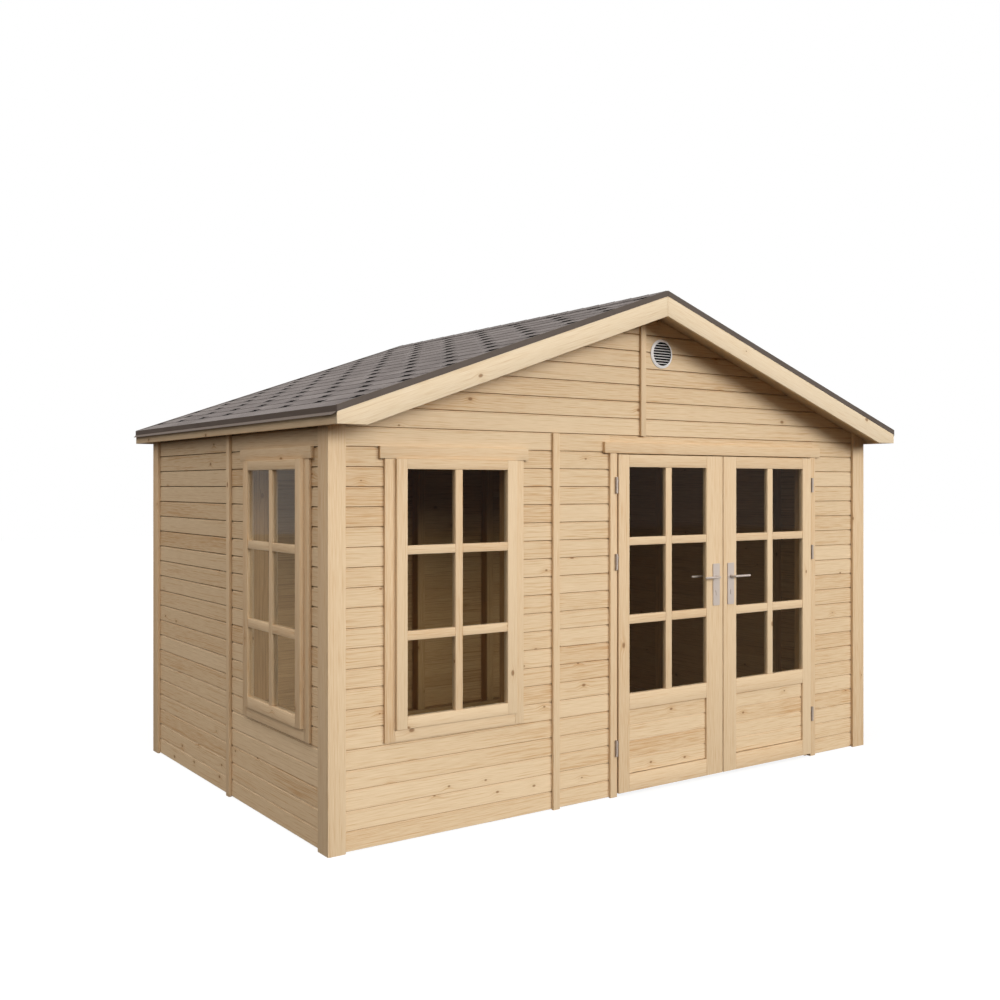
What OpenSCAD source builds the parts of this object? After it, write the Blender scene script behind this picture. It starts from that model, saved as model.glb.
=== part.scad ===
// Gabled timber garden shed with a glazed pair of doors and two windows.
// Front faces -Y, the ridge runs along Y, and the origin is on the ground in the middle.

/* [Wall panels] */
// Width of the front panel that holds the window
window_panel_w = 1282; // [1150:1:1500]
// Width of the plain front panel between the window panel and the door frame
plain_panel_w = 373; // [320:1:700]
// Width of the front panel on the far side of the doors
right_panel_w = 465; // [390:1:800]
// Depth of the side panel next to the front
side_front_panel_d = 1196; // [1000:1:1500]
// Depth of the side panel next to the back
side_back_panel_d = 1240; // [1000:1:1600]
// Height of wall above the door header, up to the gable line
over_header_h = 22; // [10:1:120]
// Height of the side walls above the gable line
eave_rise = 92; // [60:1:200]
// Thickness of the wall boards
board_t = 16; // [12:0.5:22]
// Height of the lowest board above the ground
board_lift = 4; // [1:0.5:12]

/* [Wall framing] */
// Width of studs, plates and door jambs, along the wall
stud_w = 58; // [45:1:64]
// Depth of studs and plates, into the room
stud_d = 75; // [50:1:90]

/* [Trim] */
// Thickness of the corner boards and battens
trim_t = 17; // [12:0.5:22]
// Width of the corner boards
corner_board_w = 90; // [70:1:110]
// Width of the battens over the joints of the wall panels
batten_w = 42; // [34:1:55]
// Width of the battens up the gables
gable_batten_w = 36; // [28:1:50]
// Thickness of the casings beside windows and doors
casing_t = 16; // [12:0.5:18]
// Thickness of the headers over windows and doors
header_t = 20; // [16:0.5:24]

/* [Windows] */
// Width of a window sash
sash_w = 690; // [600:1:740]
// Height of a window sash
sash_h = 1265; // [1000:1:1350]
// Thickness of a window sash
sash_t = 35; // [28:0.5:44]
// Height of a sash above the ground
sash_z = 533; // [420:1:650]
// Width of the sash stiles
sash_stile_w = 57; // [48:1:70]
// Height of the sash's top rail
sash_top_rail_h = 48; // [42:1:65]
// Height of the sash's bottom rail
sash_bottom_rail_h = 56; // [44:1:75]
// Overlap of a sash on the wall boards
sash_lap = 22; // [15:1:28]
// Width of the window's side casings
window_casing_w = 53; // [40:1:65]
// Height of the casing below the window
window_sill_h = 58; // [45:1:75]
// Height of the header over the window
window_header_h = 58; // [45:1:75]
// Length of the header beyond the casing at each end
header_ear = 28; // [15:1:40]
// Share of the spare room beside the front window's header that lies on its left
front_window_share = 0.52; // [0.3:0.01:0.7]
// Share of the spare room beside the side window's header that lies towards the front
side_window_share = 0.3; // [0.2:0.01:0.8]

/* [Doors] */
// Width between the door casings
door_opening_w = 1574; // [1530:1:1700]
// Height of a door leaf
leaf_h = 1822; // [1700:1:1950]
// Height of the leaves above the ground
leaf_lift = 18; // [12:1:40]
// Thickness of a door leaf
leaf_t = 30; // [26:0.5:38]
// Distance of the leaves' faces from the face of the wall boards
leaf_proud = 25; // [20:0.5:28]
// Gap at the hinged edge of a leaf
hinge_gap = 5.5; // [5:0.1:8]
// Gap between the two leaves
seam_gap = 6.5; // [6:0.1:9]
// Shift of the meeting edges to the right of the middle of the doorway
seam_shift = 12; // [0:1:25]
// Overlap of the leaves on the door frame
leaf_lap = 20; // [14:1:30]
// Running gap behind the leaves
leaf_gap = 5; // [5:0.1:8]
// Gap between the leaves and the header above them
header_gap = 6; // [5:0.1:10]
// Width of the hinge stiles
hinge_stile_w = 76; // [55:1:85]
// Width of a leaf's glass opening
door_glass_w = 584; // [500:1:600]
// Height of a leaf's top rail
leaf_top_rail_h = 67; // [55:1:90]
// Height of a leaf's bottom rail
leaf_bottom_rail_h = 93; // [70:1:120]
// Height of the boarded panel's opening
door_panel_h = 351; // [250:1:420]
// Height of the rail between the panel and the glass
leaf_mid_rail_h = 84; // [65:1:110]
// Width of the door's side casings
door_casing_w = 46; // [40:1:60]
// Height of the header over the doors
door_header_h = 60; // [45:1:75]
// Length of the door header beyond the casing at each end
door_header_ear = 41; // [20:1:60]

/* [Glass and panels] */
// Thickness of the glass
glass_t = 4; // [3:0.5:6]
// Thickness of the boarded door panels
door_panel_t = 12; // [9:0.5:14]
// Width of the rebates that hold glass and panels
rebate_w = 10; // [7:0.5:14]
// Depth of wood left in front of the rebates
rebate_front_t = 12; // [10:0.5:14]

/* [Door handles] */
// Height of the lever's axis above the ground
lever_z = 1149; // [1000:1:1200]
// Distance of the handles from the leaves' meeting edges
backset = 56; // [48:1:62]
// Width of a handle plate
plate_w = 52; // [40:1:60]
// Height of a handle plate
plate_h = 240; // [200:1:260]
// Thickness of a handle plate
plate_t = 6; // [4:0.5:8]
// Height of the lever's axis above the middle of its plate
lever_rise = 44; // [30:1:60]
// Reach of the lever along the door
lever_l = 124; // [95:1:130]
// Radius of the lever's neck in the door
neck_r = 9; // [8:0.1:10]
// Length of the neck in front of its plate
neck_l = 9; // [6:0.5:11]
// Radius of the lever's grip
grip_r = 6.5; // [5:0.1:7.5]
// Distance of the grip's middle from the face of the door
lever_stand = 41; // [38:1:55]
// Radius of the lever's bend
lever_bend_r = 15; // [10:0.5:16]
// Clearance round the lever's neck
neck_clear = 0.1; // [0.05:0.05:0.3]
// Radius of the lock cylinder's round
lock_r = 8.5; // [7:0.5:10]
// Height of the lock cylinder with its narrow foot
lock_h = 33; // [26:0.5:38]
// Width of the lock cylinder's foot
lock_foot_w = 10; // [8:0.5:12]
// Distance from the lever's axis down to the middle of the lock's round
lock_drop = 82; // [72:1:92]

/* [Hinges] */
// Height of a hinge barrel
barrel_h = 87; // [70:1:110]
// Radius of a hinge barrel
barrel_r = 7.5; // [6:0.1:9]
// Gap between a barrel and the face of the casing
barrel_clear = 0.3; // [0.2:0.1:0.6]
// Distance of a hinge's axis from the edge of the casing
hinge_in = 9; // [7:0.5:12]
// Radius of a hinge pin
pin_r = 4; // [3:0.1:5]
// Length of a hinge pin inside its upper half
pin_l = 28; // [20:1:32]
// Clearance round a hinge pin
pin_clear = 0.1; // [0.05:0.05:0.2]
// Radius of the stems that hold the hinge halves
stem_r = 3.5; // [2.5:0.1:4]
// Place of a leaf's stems between the barrel's axis and its back, as a share of the room there
stem_share = 0.75; // [0.5:0.05:0.9]
// Height of the top hinge above the ground
top_hinge_z = 1675; // [1550:1:1720]
// Height of the middle hinge above the ground
mid_hinge_z = 1263; // [1050:1:1400]
// Height of the bottom hinge above the ground
bottom_hinge_z = 263; // [150:1:400]

/* [Roof] */
// Slope of the roof in degrees
pitch = 19.4; // [15:0.1:30]
// Reach of the eaves beyond the corner boards
side_overhang = 50; // [40:1:140]
// Reach of the roof beyond the front and back corner boards
end_overhang = 190; // [100:1:300]
// Thickness of the roof boards
deck_t = 18; // [14:0.5:24]
// Thickness of the shingles
shingle_t = 6; // [4:0.5:9]
// Thickness of the bargeboards
barge_t = 18; // [14:0.5:24]
// Width of the bargeboards
barge_w = 120; // [100:1:150]
// Thickness of the eave boards
eave_board_t = 18; // [14:0.5:24]
// Height of the eave boards
eave_board_h = 56; // [40:1:75]
// Thickness of the ridge capping
cap_t = 4; // [3:0.5:6]
// Width of each wing of the ridge capping
cap_w = 120; // [90:1:160]
// Thickness of the metal edging
edging_t = 2; // [1.5:0.1:3]
// Height of the edging along the gables
gable_edging_h = 28; // [22:1:40]
// Reach of the gable edging over the shingles
gable_edging_w = 14; // [10:1:30]
// Height of the edging along the eaves
eave_edging_h = 27; // [22:1:40]
// Reach of the drip lip beyond the edging
lip_out = 18; // [10:1:26]
// Fall of the drip lip
lip_fall = 15; // [8:1:20]
// Height of the ridge beam
ridge_beam_h = 120; // [90:1:160]
// Height of the purlins
purlin_h = 95; // [75:1:130]
// Place of the purlins, as a share of the half width of the walls
purlin_share = 0.5; // [0.35:0.01:0.65]

/* [Gable vent] */
// Radius of the vent's flange
vent_r = 80; // [65:1:95]
// Radius of the vent's opening
vent_bore_r = 66; // [50:1:66]
// Thickness of the vent's sleeve
vent_wall_t = 3; // [2:0.5:4]
// Thickness of the vent's flange at its rim
vent_rim_t = 4; // [3:0.5:6]
// Rise of the flange round the opening
vent_dome_t = 9; // [7:0.5:12]
// Length of the vent's sleeve behind the boards' face
vent_sleeve_l = 30; // [20:1:40]
// Number of louvre slats
vent_slats = 8; // [5:1:11]
// Thickness of a louvre slat
slat_t = 2; // [1.5:0.1:3]
// Depth of a louvre slat
slat_d = 10; // [8:0.5:14]
// Tilt of the louvre slats in degrees
slat_tilt = 25; // [15:1:45]
// Place of the vent to the right of the gable's middle
vent_x = 145; // [110:1:300]
// Height of the vent's middle above the gable line
vent_rise = 475; // [380:1:490]

/* [Hidden] */
$fn = 48;
overrun = 1;
joint_gap = 0.5;
fit_gap = 0.3;

timber = [0.87, 0.76, 0.61];
trim_timber = [0.9, 0.8, 0.66];
rough_timber = [0.76, 0.62, 0.45];
glazing = [0.35, 0.4, 0.4, 0.5];
nickel = [0.72, 0.68, 0.64];
hinge_steel = [0.6, 0.58, 0.56];
bitumen = [0.33, 0.31, 0.31];
dark_metal = [0.26, 0.24, 0.24];
white_plastic = [0.9, 0.89, 0.88];

// Door heights
leaf_top = leaf_lift + leaf_h;
door_header_z = leaf_top + header_gap;
door_head_z = leaf_top - leaf_lap;
door_glass_z = leaf_bottom_rail_h + door_panel_h + leaf_mid_rail_h;
door_glass_h = leaf_h - leaf_top_rail_h - door_glass_z;

// Window sizes
sash_top = sash_z + sash_h;
window_header_z = sash_top + joint_gap;
glass_w = sash_w - 2 * sash_stile_w;
glass_h = sash_h - sash_top_rail_h - sash_bottom_rail_h;
hole_w = sash_w - 2 * sash_lap;
hole_z = sash_z + sash_lap;
hole_top = sash_top - sash_lap;
header_w = sash_w + 2 * (window_casing_w + header_ear);

// Wall height, plan and the faces of the walls
wall_h = max(door_header_z + door_header_h, window_header_z + window_header_h) + over_header_h;
frame_top = min(door_head_z + stud_w, wall_h - stud_w);
frame_half_w = door_opening_w / 2 - leaf_lap + stud_w;
wall_half_w = (window_panel_w + plain_panel_w + 2 * frame_half_w + right_panel_w) / 2;
wall_half_d = (side_front_panel_d + side_back_panel_d) / 2;
front_y = -wall_half_d;
stud_y = front_y + board_t;
room_y = stud_y + stud_d;
stud_x = wall_half_w - board_t;
room_x = stud_x - stud_d;
corner_x = wall_half_w + trim_t;
corner_y = wall_half_d + trim_t;

// Joints between the wall panels, and the middle of each opening
front_joint_x = window_panel_w - wall_half_w;
side_joint_y = side_front_panel_d - wall_half_d;
frame_left_x = front_joint_x + plain_panel_w;
door_x = frame_left_x + frame_half_w;
frame_right_x = door_x + frame_half_w;
field_left_x = corner_board_w - corner_x;
field_front_y = front_y + corner_board_w;
front_spare_w = front_joint_x - batten_w / 2 - field_left_x - header_w;
side_spare_w = side_joint_y - batten_w / 2 - field_front_y - header_w;
front_window_x = field_left_x + front_window_share * front_spare_w + header_w / 2;
side_window_y = field_front_y + side_window_share * side_spare_w + header_w / 2;
hole_stud_x = hole_w / 2 + stud_w / 2;

// Door leaves
opening_half_w = door_opening_w / 2;
seam_x = door_x + seam_shift;
left_edge_x = door_x - opening_half_w + hinge_gap;
right_edge_x = door_x + opening_half_w - hinge_gap;
left_leaf_w = seam_x - seam_gap / 2 - left_edge_x;
right_leaf_w = right_edge_x - seam_x - seam_gap / 2;
leaf_y = front_y - leaf_proud;
leaf_stop_y = leaf_y + leaf_t + leaf_gap;
hinge_heights = [top_hinge_z, mid_hinge_z, bottom_hinge_z];
barrel_x = -hinge_gap - hinge_in;
barrel_y = leaf_proud - casing_t - barrel_r - barrel_clear;
half_barrel_h = (barrel_h - joint_gap) / 2;

// Roof surfaces: heights over the underside of the roof boards, square to the slope
function upright(t) = t / cos(pitch);
function under(x) = wall_h + eave_rise + tan(pitch) * (wall_half_w - abs(x));
function layer(x, t) = under(x) + upright(t);
function band(x0, x1, t0, t1) =
    [[x0, layer(x0, t0)], [x1, layer(x1, t0)], [x1, layer(x1, t1)], [x0, layer(x0, t1)]];
eave_x = corner_x + side_overhang;
roof_y = corner_y + end_overhang;
deck_y = roof_y - barge_t;
roof_t = deck_t + shingle_t;
eave_bottom = under(eave_x) - eave_board_h;
barge_under = layer(0, deck_t) - upright(barge_w);
barge_flat_x = (barge_under - eave_bottom) / tan(pitch);
trim_top = under(corner_x);

// Shared shapes

// Block between two corners
module block(low, high) {
    translate(low) cube(high - low);
}

// Profile in X and Z, extruded along Y
module run_back(points, y0, y1) {
    translate([0, y1, 0]) rotate([90, 0, 0]) linear_extrude(y1 - y0) polygon(points);
}

module both_sides() {
    children();
    mirror([1, 0, 0]) children();
}

module both_ends() {
    children();
    mirror([0, 1, 0]) children();
}

// Half a turn about Z keeps the handing of what goes round the corners
module round_about() {
    children();
    rotate([0, 0, 180]) children();
}

module at_front_window() {
    translate([front_window_x, front_y, 0]) children();
}

module at_left_window() {
    translate([-wall_half_w, side_window_y, 0]) rotate([0, 0, -90]) children();
}

// Leaf frames of reference: hinged edge at x = 0, front face at y = 0, foot at z = 0
module at_left_leaf() {
    translate([left_edge_x, leaf_y, leaf_lift]) children();
}

module at_right_leaf() {
    translate([right_edge_x, leaf_y, leaf_lift]) mirror([1, 0, 0]) children();
}

// Wall boards

module front_boards(x0, x1, z0) {
    block([x0, front_y, z0], [x1, stud_y, wall_h]);
}

module side_boards(y0, y1) {
    block([-wall_half_w, y0, board_lift], [-stud_x, y1, under(wall_half_w)]);
}

module window_hole() {
    block([-hole_w / 2, -overrun, hole_z], [hole_w / 2, board_t + overrun, hole_top]);
}

module front_wall_left() {
    color(timber) difference() {
        front_boards(-wall_half_w, front_joint_x - joint_gap, board_lift);
        at_front_window() window_hole();
    }
}

module front_wall_middle() {
    color(timber) front_boards(front_joint_x + joint_gap, frame_left_x, board_lift);
}

module front_wall_over_door() {
    color(timber) front_boards(frame_left_x, frame_right_x, frame_top);
}

module front_wall_right() {
    color(timber) front_boards(frame_right_x, wall_half_w, board_lift);
}

module back_wall() {
    color(timber) mirror([0, 1, 0]) {
        both_sides() front_boards(-wall_half_w, front_joint_x - joint_gap, board_lift);
        front_boards(front_joint_x + joint_gap, -front_joint_x - joint_gap, board_lift);
    }
}

module left_wall_front() {
    color(timber) difference() {
        side_boards(stud_y, side_joint_y - joint_gap);
        at_left_window() window_hole();
    }
}

module left_wall_back() {
    color(timber) side_boards(side_joint_y + joint_gap, -stud_y);
}

module right_wall() {
    color(timber) rotate([0, 0, 180]) {
        side_boards(stud_y, side_joint_y - joint_gap);
        side_boards(side_joint_y + joint_gap, -stud_y);
    }
}

module gable_boards() {
    eave_z = under(wall_half_w);
    run_back([[-wall_half_w, wall_h], [wall_half_w, wall_h], [wall_half_w, eave_z],
        [0, under(0)], [-wall_half_w, eave_z]], front_y, stud_y);
}

module at_vent() {
    translate([vent_x, front_y, wall_h + vent_rise]) rotate([90, 0, 0]) children();
}

module front_gable() {
    color(timber) difference() {
        gable_boards();
        at_vent() translate([0, 0, -board_t - overrun])
            cylinder(r = vent_bore_r + vent_wall_t + fit_gap, h = board_t + 2 * overrun);
    }
}

module back_gable() {
    color(timber) mirror([0, 1, 0]) gable_boards();
}

// Framing inside the walls

module front_stud(x) {
    block([x - stud_w / 2, stud_y, stud_w], [x + stud_w / 2, room_y, wall_h - stud_w]);
}

module side_stud(y) {
    block([-stud_x, y - stud_w / 2, stud_w], [-room_x, y + stud_w / 2, wall_h - stud_w]);
}

module wall_studs() {
    side_mid_y = (side_joint_y - room_y) / 2;
    color(rough_timber) {
        both_ends() both_sides() block([-stud_x, stud_y, 0], [-room_x, room_y, wall_h]);
        front_stud(front_joint_x);
        for (side = [-1, 1]) {
            front_stud(front_window_x + side * hole_stud_x);
            side_stud(side_window_y + side * hole_stud_x);
        }
        mirror([0, 1, 0]) for (x = [front_joint_x, -front_joint_x, 0]) front_stud(x);
        mirror([0, 1, 0]) both_sides() front_stud((front_joint_x - room_x) / 2);
        side_stud(side_joint_y);
        side_stud(side_mid_y);
        rotate([0, 0, 180]) for (y = [side_joint_y, side_mid_y, (side_joint_y + room_y) / 2]) side_stud(y);
    }
}

module window_trimmers() {
    for (z = [hole_z - stud_w, hole_top])
        block([-hole_w / 2, board_t, z], [hole_w / 2, board_t + stud_d, z + stud_w]);
}

module wall_rails() {
    color(rough_timber) {
        block([-room_x, stud_y, 0], [frame_left_x, room_y, stud_w]);
        block([frame_right_x, stud_y, 0], [room_x, room_y, stud_w]);
        block([-room_x, -room_y, 0], [room_x, -stud_y, stud_w]);
        both_sides() block([-stud_x, room_y, 0], [-room_x, -room_y, stud_w]);
        both_ends() block([-room_x, stud_y, wall_h - stud_w], [room_x, room_y, wall_h]);
        both_sides() block([-stud_x, room_y, wall_h - stud_w], [-room_x, -room_y, wall_h]);
        at_front_window() window_trimmers();
        at_left_window() window_trimmers();
    }
}

// Framing under the roof

module gable_rafters() {
    color(rough_timber) both_ends() both_sides()
        run_back(band(joint_gap, room_x, -stud_d, 0), stud_y, room_y);
}

module ridge_beam() {
    half_w = stud_w / 2;
    foot = under(half_w) - ridge_beam_h;
    run_back([[-half_w, foot], [half_w, foot], [half_w, under(half_w)], [0, under(0)],
        [-half_w, under(half_w)]], room_y, -room_y);
}

module purlin() {
    x0 = purlin_share * wall_half_w - stud_w / 2;
    x1 = x0 + stud_w;
    foot = under(x1) - purlin_h;
    run_back([[x0, foot], [x1, foot], [x1, under(x1)], [x0, under(x0)]], room_y, -room_y);
}

module eave_plate() {
    run_back([[room_x, wall_h], [stud_x, wall_h], [stud_x, under(stud_x)], [room_x, under(room_x)]],
        stud_y, -stud_y);
}

module roof_beams() {
    color(rough_timber) {
        ridge_beam();
        both_sides() purlin();
        both_sides() eave_plate();
    }
}

// Corner boards lap one another the same way round at every corner

module end_corner_boards() {
    color(trim_timber) round_about() {
        block([-corner_x, -corner_y, 0], [corner_board_w - corner_x, front_y, trim_top]);
        block([wall_half_w - corner_board_w, -corner_y, 0], [wall_half_w, front_y, trim_top]);
    }
}

module side_corner_boards() {
    color(trim_timber) round_about() {
        block([-corner_x, front_y, 0], [-wall_half_w, front_y + corner_board_w, trim_top]);
        block([wall_half_w, -corner_y, 0], [corner_x, corner_board_w - corner_y, trim_top]);
    }
}

module front_batten(x, w, z0, z1) {
    block([x - w / 2, -corner_y, z0], [x + w / 2, front_y, z1]);
}

module battens() {
    half_w = gable_batten_w / 2;
    color(trim_timber) {
        front_batten(front_joint_x, batten_w, 0, wall_h);
        mirror([0, 1, 0]) both_sides() front_batten(front_joint_x, batten_w, 0, wall_h);
        round_about() block([-corner_x, side_joint_y - batten_w / 2, 0],
            [-wall_half_w, side_joint_y + batten_w / 2, trim_top]);
        both_ends() front_batten(0, gable_batten_w, wall_h, under(half_w));
    }
}

// Windows: middle of the sash at x = 0, face of the wall boards at y = 0

module window_casing() {
    half_w = sash_w / 2 + joint_gap;
    color(trim_timber) {
        both_sides() block([half_w, -casing_t, sash_z - window_sill_h],
            [half_w + window_casing_w, 0, window_header_z - joint_gap]);
        block([joint_gap - half_w, -casing_t, sash_z - window_sill_h],
            [half_w - joint_gap, 0, sash_z - joint_gap]);
        block([-header_w / 2, -header_t, window_header_z],
            [header_w / 2, 0, window_header_z + window_header_h]);
    }
}

module window_sash() {
    low = [-glass_w / 2, -sash_t, sash_z + sash_bottom_rail_h];
    high = [glass_w / 2, 0, sash_top - sash_top_rail_h];
    color(trim_timber) difference() {
        block([-sash_w / 2, -sash_t, sash_z], [sash_w / 2, 0, sash_top]);
        block(low - [0, overrun, 0], high + [0, overrun, 0]);
        block(low + [-rebate_w, rebate_front_t, -rebate_w], high + [rebate_w, overrun, rebate_w]);
    }
}

module window_glass() {
    edge = rebate_w - fit_gap;
    y0 = rebate_front_t - sash_t;
    color(glazing) block([-glass_w / 2 - edge, y0, sash_z + sash_bottom_rail_h - edge],
        [glass_w / 2 + edge, y0 + glass_t, sash_top - sash_top_rail_h + edge]);
}

module front_window_casing() { at_front_window() window_casing(); }
module front_window_sash() { at_front_window() window_sash(); }
module front_window_glass() { at_front_window() window_glass(); }
module left_window_casing() { at_left_window() window_casing(); }
module left_window_sash() { at_left_window() window_sash(); }
module left_window_glass() { at_left_window() window_glass(); }

// Doorway

// Jambs and head, lined with the stops that the leaves shut against
module door_frame() {
    half_w = opening_half_w - joint_gap;
    color(rough_timber) translate([door_x, 0, 0]) {
        both_sides() block([opening_half_w, front_y, 0], [frame_half_w, room_y, frame_top]);
        block([-half_w, front_y, door_header_z], [half_w, room_y, frame_top]);
        both_sides() block([opening_half_w - leaf_lap, leaf_stop_y, 0],
            [half_w, room_y, door_head_z - joint_gap]);
        block([-half_w, leaf_stop_y, door_head_z], [half_w, room_y, door_header_z - joint_gap]);
    }
}

module door_casing() {
    header_half_w = opening_half_w + door_casing_w + door_header_ear;
    color(trim_timber) translate([door_x, front_y, 0]) {
        both_sides() block([opening_half_w, -casing_t, 0],
            [opening_half_w + door_casing_w, 0, door_header_z - joint_gap]);
        block([-header_half_w, -header_t, door_header_z],
            [header_half_w, 0, door_header_z + door_header_h]);
    }
}

// Door leaves

module leaf_opening(z, h) {
    low = [hinge_stile_w, 0, z];
    high = [hinge_stile_w + door_glass_w, leaf_t, z + h];
    block(low - [0, overrun, 0], high + [0, overrun, 0]);
    block(low + [-rebate_w, rebate_front_t, -rebate_w], high + [rebate_w, overrun, rebate_w]);
}

module leaf_filling(z, h, t) {
    edge = rebate_w - fit_gap;
    block([hinge_stile_w - edge, rebate_front_t, z - edge],
        [hinge_stile_w + door_glass_w + edge, rebate_front_t + t, z + h + edge]);
}

// Bore for the lever's neck, through whatever lies between two depths
module neck_bore(y0, y1) {
    translate([0, y1 + overrun, lever_z - leaf_lift]) rotate([90, 0, 0])
        cylinder(r = neck_r + neck_clear, h = y1 - y0 + 2 * overrun);
}

module door_leaf(w) {
    color(trim_timber) difference() {
        cube([w, leaf_t, leaf_h]);
        leaf_opening(leaf_bottom_rail_h, door_panel_h);
        leaf_opening(door_glass_z, door_glass_h);
        translate([w - backset, 0, 0]) neck_bore(0, leaf_t);
    }
}

module door_panel() {
    color(timber) leaf_filling(leaf_bottom_rail_h, door_panel_h, door_panel_t);
}

module door_glass() {
    color(glazing) leaf_filling(door_glass_z, door_glass_h, glass_t);
}

// Plate with round-cornered outline, its back at y = 0 and its middle on the lever's axis
module handle_plate() {
    corner_r = plate_t;
    mid_z = lever_z - leaf_lift - lever_rise;
    difference() {
        translate([0, 0, mid_z]) rotate([90, 0, 0]) linear_extrude(plate_t) union() {
            square([plate_w, plate_h - 2 * corner_r], center = true);
            square([plate_w - 2 * corner_r, plate_h], center = true);
            for (x = [-1, 1], y = [-1, 1])
                translate([x * (plate_w / 2 - corner_r), y * (plate_h / 2 - corner_r)]) circle(r = corner_r);
        }
        neck_bore(-plate_t, 0);
    }
    translate([0, -plate_t, lever_z - leaf_lift - lock_drop]) rotate([90, 0, 0]) lock_profile();
}

// Round above, narrow foot with a rounded end below
module lock_profile() {
    foot_y = lock_r - lock_h + lock_foot_w / 2;
    linear_extrude(plate_t / 2) union() {
        circle(r = lock_r);
        translate([0, foot_y]) circle(r = lock_foot_w / 2);
        translate([-lock_foot_w / 2, foot_y]) square([lock_foot_w, -foot_y]);
    }
}

module door_plates(w) {
    color(nickel) translate([w - backset, 0, 0]) {
        handle_plate();
        translate([0, leaf_t, 0]) mirror([0, 1, 0]) handle_plate();
    }
}

// Neck, bend and grip of one lever; the neck starts at half the leaf's thickness
module lever_half() {
    bend_y = lever_bend_r - lever_stand;
    translate([0, leaf_t / 2, 0]) rotate([90, 0, 0])
        cylinder(r = neck_r, h = leaf_t / 2 + plate_t + neck_l);
    rotate([90, 0, 0]) cylinder(r = grip_r, h = -bend_y);
    translate([-lever_bend_r, bend_y, 0]) rotate([0, 0, -90])
        rotate_extrude(angle = 90) translate([lever_bend_r, 0]) circle(r = grip_r);
    translate([-lever_bend_r, -lever_stand, 0]) rotate([0, -90, 0])
        cylinder(r = grip_r, h = lever_l - lever_bend_r - grip_r);
    translate([grip_r - lever_l, -lever_stand, 0]) sphere(r = grip_r);
}

module lever(w) {
    color(nickel) translate([w - backset, 0, lever_z - leaf_lift]) {
        lever_half();
        translate([0, leaf_t, 0]) mirror([0, 1, 0]) lever_half();
    }
}

// Lift-off hinges in front of the casings: the upper half turns with the leaf on the lower half's pin,
// and each half is held by a stem, into the edge of the leaf or into the casing

module at_hinges() {
    for (z = hinge_heights) translate([barrel_x, barrel_y, z - leaf_lift]) children();
}

module leaf_hinges() {
    color(hinge_steel) at_hinges() translate([0, 0, joint_gap / 2]) difference() {
        union() {
            cylinder(r = barrel_r, h = half_barrel_h);
            translate([0, stem_share * (barrel_r - stem_r), half_barrel_h / 2]) rotate([0, 90, 0])
                cylinder(r = stem_r, h = -barrel_x);
        }
        translate([0, 0, -overrun]) cylinder(r = pin_r + pin_clear, h = pin_l + 2 * overrun);
    }
}

module post_hinges() {
    at_hinges() translate([0, 0, -joint_gap / 2]) {
        translate([0, 0, -half_barrel_h]) cylinder(r = barrel_r, h = half_barrel_h);
        translate([0, 0, -half_barrel_h / 2]) rotate([-90, 0, 0])
            cylinder(r = stem_r, h = barrel_r + barrel_clear);
        cylinder(r = pin_r, h = pin_l);
    }
}

module frame_hinges() {
    color(hinge_steel) {
        at_left_leaf() post_hinges();
        at_right_leaf() post_hinges();
    }
}

module left_door_leaf() { at_left_leaf() door_leaf(left_leaf_w); }
module left_door_panel() { at_left_leaf() door_panel(); }
module left_door_glass() { at_left_leaf() door_glass(); }
module left_door_plates() { at_left_leaf() door_plates(left_leaf_w); }
module left_door_hinges() { at_left_leaf() leaf_hinges(); }
module left_lever() { at_left_leaf() lever(left_leaf_w); }
module right_door_leaf() { at_right_leaf() door_leaf(right_leaf_w); }
module right_door_panel() { at_right_leaf() door_panel(); }
module right_door_glass() { at_right_leaf() door_glass(); }
module right_door_plates() { at_right_leaf() door_plates(right_leaf_w); }
module right_door_hinges() { at_right_leaf() leaf_hinges(); }
module right_lever() { at_right_leaf() lever(right_leaf_w); }

// Roof covering

module roof_boards() {
    color(timber) both_sides() run_back(band(joint_gap, eave_x, 0, deck_t), -deck_y, deck_y);
}

module bargeboards() {
    apex = layer(joint_gap, deck_t);
    outline = [[joint_gap, apex - upright(barge_w)], [barge_flat_x, eave_bottom], [eave_x, eave_bottom],
        [eave_x, layer(eave_x, deck_t)], [joint_gap, apex]];
    color(trim_timber) both_ends() both_sides() run_back(outline, -roof_y, -deck_y);
}

module eave_boards() {
    inner_x = eave_x - eave_board_t;
    color(trim_timber) both_sides() run_back([[inner_x, eave_bottom], [eave_x, eave_bottom],
        [eave_x, under(eave_x)], [inner_x, under(inner_x)]], -deck_y, deck_y);
}

module shingles() {
    color(bitumen) both_sides() run_back(band(joint_gap, eave_x, deck_t, roof_t), -roof_y, roof_y);
}

// Capping bent over the ridge, between the edgings of the two gables
module ridge_cap() {
    wing_x = cap_w * cos(pitch);
    end_y = roof_y - gable_edging_w - joint_gap;
    color(bitumen) run_back([[-wing_x, layer(wing_x, roof_t)], [0, layer(0, roof_t)],
        [wing_x, layer(wing_x, roof_t)], [wing_x, layer(wing_x, roof_t + cap_t)],
        [0, layer(0, roof_t + cap_t)], [-wing_x, layer(wing_x, roof_t + cap_t)]], -end_y, end_y);
}

// Angle edging: a flange down the face of the bargeboard and one on the shingles
module gable_edging() {
    top = roof_t + edging_t;
    color(dark_metal) both_ends() both_sides() {
        run_back(band(joint_gap, eave_x, top - gable_edging_h, top), -roof_y - edging_t, -roof_y);
        run_back(band(joint_gap, eave_x, roof_t, top), -roof_y, gable_edging_w - roof_y);
    }
}

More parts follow.
